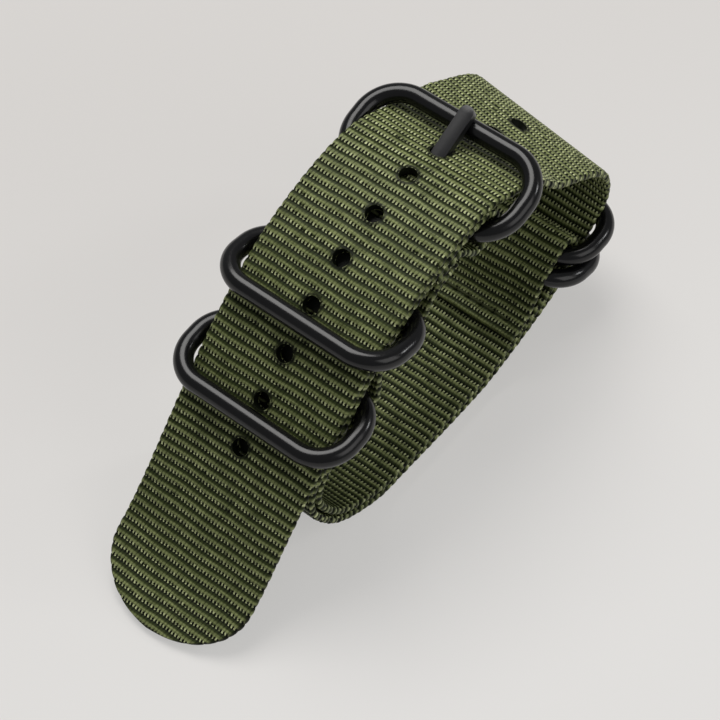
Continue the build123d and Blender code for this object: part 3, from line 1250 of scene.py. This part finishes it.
@dataclass
class Straps:
    """Both straps of webbing and the threads that join them.

    The roll of the back fold, in millimetres, rises and falls over two stretches past the place
    where the tail leaves the buckle.
    """

    layout: Layout
    webbing: Material
    cut_edge: Material
    thread: Material
    weave: Weave = Weave()
    shape: Stitch = Stitch()
    second_phase: float = 0.4
    roll: float = 2.3
    roll_rise: Span = (11.0, 20.0)
    roll_fall: Span = (37.0, 49.0)
    front_seam_share: float = 1.5

    def twist(self, along: Array, across: Array) -> Array:
        """Give how much the back fold is lifted at its left edge and lowered at its right."""
        past = along - self.layout.tail_reach
        weight = ease(past, *self.roll_rise) * (1 - ease(past, *self.roll_fall))
        return across / self.layout.half_width * self.roll * weight

    def build(self) -> None:
        """Build the straps and their seams."""
        layout = self.layout
        extra = [0.0] * len(layout.hole_stations())
        extra[layout.holes_before_tongue] = layout.used_hole_length - layout.hole_diameter
        main = Band(
            "main_webbing", "main_strap", layout.main, layout, self.weave, tip=True,
            holes=tuple(zip(layout.hole_stations(), extra)),
            seams=self.crossed_by(layout.main), twist=self.twist,
        )
        second = Band(
            "second_webbing", "second_strap", layout.second, layout, self.weave,
            phase=self.second_phase, seams=self.crossed_by(layout.second),
        )
        for band in (main, second):
            piece = band.build(self.webbing)
            if band.holes:
                band.punch(piece, [*band.hole_cuts(), self.eye_slot()], self.cut_edge)
            enter(piece, Body.STRAPS, band.node)
        self.sew()

    def eye_slot(self) -> Cut:
        """Give the cut that lets the tongue's eye through the fold round the hinge bar."""
        layout = self.layout
        eye = layout.wire_radius + layout.eye_clearance + layout.tongue_thickness
        start = eye + layout.layer_gap * 2
        reach = layout.buckle_drift + layout.wrap_radius + layout.webbing_thickness
        half = layout.tongue_width / 2 + layout.layer_gap * 2
        outline = np.array([(-start, -half), (reach, -half), (reach, half), (-start, half)])
        low = -(layout.wrap_depth + layout.webbing_thickness)
        high = layout.half_thickness + layout.layer_gap / 2
        return Cut(layout.hinge_place, layout.hinge_heading, outline, low, high)

    def seams(self) -> list[Seam]:
        """Give the seams of both straps."""
        layout, step = self.layout, self.layout.layer_step
        end, thread = layout.front.length, layout.thread_width
        between = (layout.front_ring_distance + layout.back_ring_distance) / 2
        behind = layout.front_ring_distance + layout.pocket_length / 2 + thread
        first = end - layout.joined_start - thread * 2
        second = end - layout.turned_length + thread * self.front_seam_share
        rear = layout.rear_station + layout.rear_seam_distance
        return [
            Seam("buckle_seam_back", *layout.front.spot(first), step * 2),
            Seam("buckle_seam_front", *layout.front.spot(second), step * 2),
            Seam("keeper_seam", *layout.front.spot(end - between), step),
            Seam("joining_seam", *layout.front.spot(end - behind), step),
            Seam("rear_seam", *layout.tail.spot(rear, step), step),
        ]

    def crossed_by(self, line: Line) -> tuple[float, ...]:
        """Give the distances along a line at which seams go through it."""
        layout, found = self.layout, []
        for seam in self.seams():
            for depth in np.arange(0, seam.depth + layout.layer_gap, layout.layer_step):
                gap, distance = line.nearest(seam.place + inward_of(seam.heading) * depth)
                if gap < layout.half_thickness:
                    found.append(distance)
        return tuple(found)

    def sew(self) -> None:
        """Build the stitches of each seam, on both faces."""
        half, count = self.layout.half_thickness, self.layout.stitch_count
        for seam in self.seams():
            for side, level, up in (("outer", half, 1), ("inner", -seam.depth - half, -1)):
                stitches = [self.stitch(seam, k, level, up) for k in range(count)]
                node = f"{seam.name}_{side}"
                piece = mesh_object(node + "_stitches", *merged(stitches), self.thread)
                enter(piece, Body.STRAPS, node)

    def stitch(self, seam: Seam, number: int, level: float, up: int) -> Skin:
        """Give one stitch.

        Args:
            seam: The seam that it belongs to.
            number: Its number in the row.
            level: Height of the face that it lies on, outwards from the seam's place.
            up: 1 on the outer face and -1 on the inner face.

        Returns:
            Its vertices and faces.
        """
        layout, shape = self.layout, self.shape
        share = np.linspace(-1, 1, shape.points)
        lift = level - up * (shape.sink + shape.dip * np.abs(share) ** shape.dip_power)
        middle = number + (1 - layout.stitch_count) / 2
        across = (middle + share * shape.reach_share) * layout.stitch_pitch
        x, z = seam.place[:, None] - inward_of(seam.heading)[:, None] * lift
        thin = shape.middle_share - shape.thinning * np.abs(share) ** shape.thinning_power
        path, size = np.column_stack([x, across, z]), layout.thread_width / 2 * thin
        normal = np.array([seam.heading[0], 0.0, seam.heading[1]])
        return tube(path, size, shape.sides, False, normal)


@dataclass
class Rings:
    """The five wire rings: buckle frame, keepers and rear rings."""

    layout: Layout
    wire: Material
    corner_share: float = 0.88
    sides: int = 40
    step: float = 0.28

    def outline(self, depth: float) -> Array:
        """Give a ring's centre line in its own plane, in even steps.

        Args:
            depth: The ring's size from its hinge bar to its outer bar, outside.

        Returns:
            Points as distances from the ring's middle, away from the hinge and across.
        """
        layout = self.layout
        across = (depth - layout.wire_diameter) / 2
        along = (layout.ring_length - layout.wire_diameter) / 2
        bend = across * self.corner_share
        corner = bend * QUARTER_TURN
        runs = [2 * (along - bend), corner, 2 * (across - bend), corner] * 2
        points = []
        spot, turn = np.array([across, bend - along]), QUARTER_TURN
        for k, run in enumerate(runs):
            steps = np.linspace(0, run, max(int(run / self.step), 2), endpoint=False)
            if k % 2:
                centre = on_circle(spot, bend, turn + QUARTER_TURN)
                points.append(on_circle(centre, bend, turn - QUARTER_TURN + steps / bend))
                spot = on_circle(centre, bend, turn)
                turn += QUARTER_TURN
            else:
                points.append(on_circle(spot, steps[:, None], turn))
                spot = on_circle(spot, run, turn)
        return np.vstack(points)

    def build(self) -> None:
        """Build the rings."""
        layout, depth = self.layout, self.layout.ring_depth
        table = [
            ("buckle_frame", Body.BUCKLE, layout.buckle_hinge, layout.buckle_angle,
             layout.buckle_depth),
            ("back_keeper", Body.BACK_KEEPER, layout.back_hinge, layout.back_angle, depth),
            ("front_keeper", Body.FRONT_KEEPER, layout.front_hinge, layout.front_angle, depth),
            ("rear_ring_upper", Body.UPPER_RING, layout.rear_hinge, layout.rear_hang, depth),
            ("rear_ring_lower", Body.LOWER_RING, layout.low_hinge, layout.low_hang, depth),
        ]
        for node, body, hinge, angle, depth in table:
            flat = self.outline(depth)
            middle = on_circle(hinge, (depth - layout.wire_diameter) / 2, angle)
            x, z = on_circle(middle, flat[:, :1], angle).T
            path = np.column_stack([x, flat[:, 1], z])
            normal = np.array([-math.sin(angle), 0, math.cos(angle)])
            skin = tube(path, layout.wire_radius, self.sides, True, normal)
            piece = mesh_object(node + "_wire", *skin, self.wire)
            enter(piece, body, node)


@dataclass
class Tongue:
    """The buckle's tongue, with its edges rounded as a stamped strip's are."""

    source: Object
    metal: Material
    edge: float = 0.22
    edge_segments: int = 4
    bevel_angle: float = math.radians(40)
    sharp_angle: float = math.radians(35)
    weld_gap: float = 0.002

    def build(self) -> None:
        """Copy the solid's shape and round its edges."""
        piece = link("tongue_strip", self.source.data.copy())
        weld = piece.modifiers.new("weld", "WELD")
        weld.merge_threshold = self.weld_gap * MM
        bevel = piece.modifiers.new("edges", "BEVEL")
        bevel.width, bevel.segments = self.edge * MM, self.edge_segments
        bevel.limit_method, bevel.angle_limit = "ANGLE", self.bevel_angle
        apply_modifiers(piece)
        mesh = piece.data
        mesh.materials.clear()
        mesh.materials.append(self.metal)
        mesh.polygons.foreach_set("material_index", [0] * len(mesh.polygons))
        mesh.polygons.foreach_set("use_smooth", [True] * len(mesh.polygons))
        mesh.set_sharp_from_angle(angle=self.sharp_angle)
        enter(piece, Body.TONGUE, "tongue")


@dataclass(frozen=True)
class Softbox:
    """A square soft light that faces the strap, in metres and watts."""

    name: str
    place: Spot
    size: float
    power: float
    colour: Colour = (1.0, 0.985, 0.965)
    aim: Spot = (0.0, 0.0, 0.02)

    def build(self) -> None:
        """Add the light."""
        data = bpy.data.lights.new(self.name, "AREA")
        data.shape, data.size = "SQUARE", self.size
        data.energy, data.color = self.power, self.colour
        made = link(self.name, data)
        made.location = self.place
        face_along(made, Vector(self.aim) - Vector(self.place))


@dataclass
class Studio:
    """Pale floor, soft light and the camera at the photograph's angle."""

    eye: Spot = (-0.135, -0.1061, 0.24479)
    azimuth: float = math.radians(38.7)
    elevation: float = math.radians(53.9)
    lens: float = 110.0
    sensor: float = 36.0
    clip: Span = (0.01, 20)
    floor_size: float = 3.0
    room_colour: Colour = (0.93, 0.94, 0.96)
    room_strength: float = 0.26
    lamps: tuple[Softbox, ...] = (
        Softbox("key_softbox", (0.14, 0.27, 0.68), 0.46, 3.9),
        Softbox("fill_softbox", (0.00, -0.62, 0.52), 0.50, 1.2),
        Softbox("edge_softbox", (0.42, -0.45, 0.42), 0.12, 0.55, (0.98, 0.985, 1.0)),
    )

    def build(self) -> None:
        """Set the floor, the lights, the world and the camera."""
        half = self.floor_size / 2 / MM
        corners = [(-half, -half, 0), (half, -half, 0), (half, half, 0), (-half, half, 0)]
        paper = FloorFinish().material()
        mesh_object("floor", np.array(corners), [(0, 1, 2, 3)], paper)
        for lamp in self.lamps:
            lamp.build()
        world = bpy.data.worlds.new("soft_room")
        world.use_nodes = True
        background = world.node_tree.nodes["Background"]
        background.inputs["Color"].default_value = opaque(self.room_colour)
        background.inputs["Strength"].default_value = self.room_strength
        bpy.context.scene.world = world
        self.camera()
        bpy.context.scene.view_settings.view_transform = "Standard"

    def camera(self) -> None:
        """Add the camera."""
        data = bpy.data.cameras.new("photo_camera")
        data.lens, data.sensor_width = self.lens, self.sensor
        data.clip_start, data.clip_end = self.clip
        made = link("photo_camera", data)
        made.location = self.eye
        level, down = math.cos(self.elevation), math.sin(self.elevation)
        ahead = (math.cos(self.azimuth) * level, math.sin(self.azimuth) * level, -down)
        face_along(made, Vector(ahead))
        bpy.context.scene.camera = made


def main() -> None:
    """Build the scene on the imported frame."""
    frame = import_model()
    layout = Layout()
    LOG.info("main %.2f mm, second %.2f mm", layout.main.length, layout.second.length)
    Straps(
        layout, WebbingFinish().material(), MeltedFinish().material(), ThreadFinish().material()
    ).build()
    Rings(layout, WireFinish().material()).build()
    Tongue(frame["nodes"]["tongue"], TongueFinish().material()).build()
    Studio().build()
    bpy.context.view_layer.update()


if __name__ == "__main__":
    main()
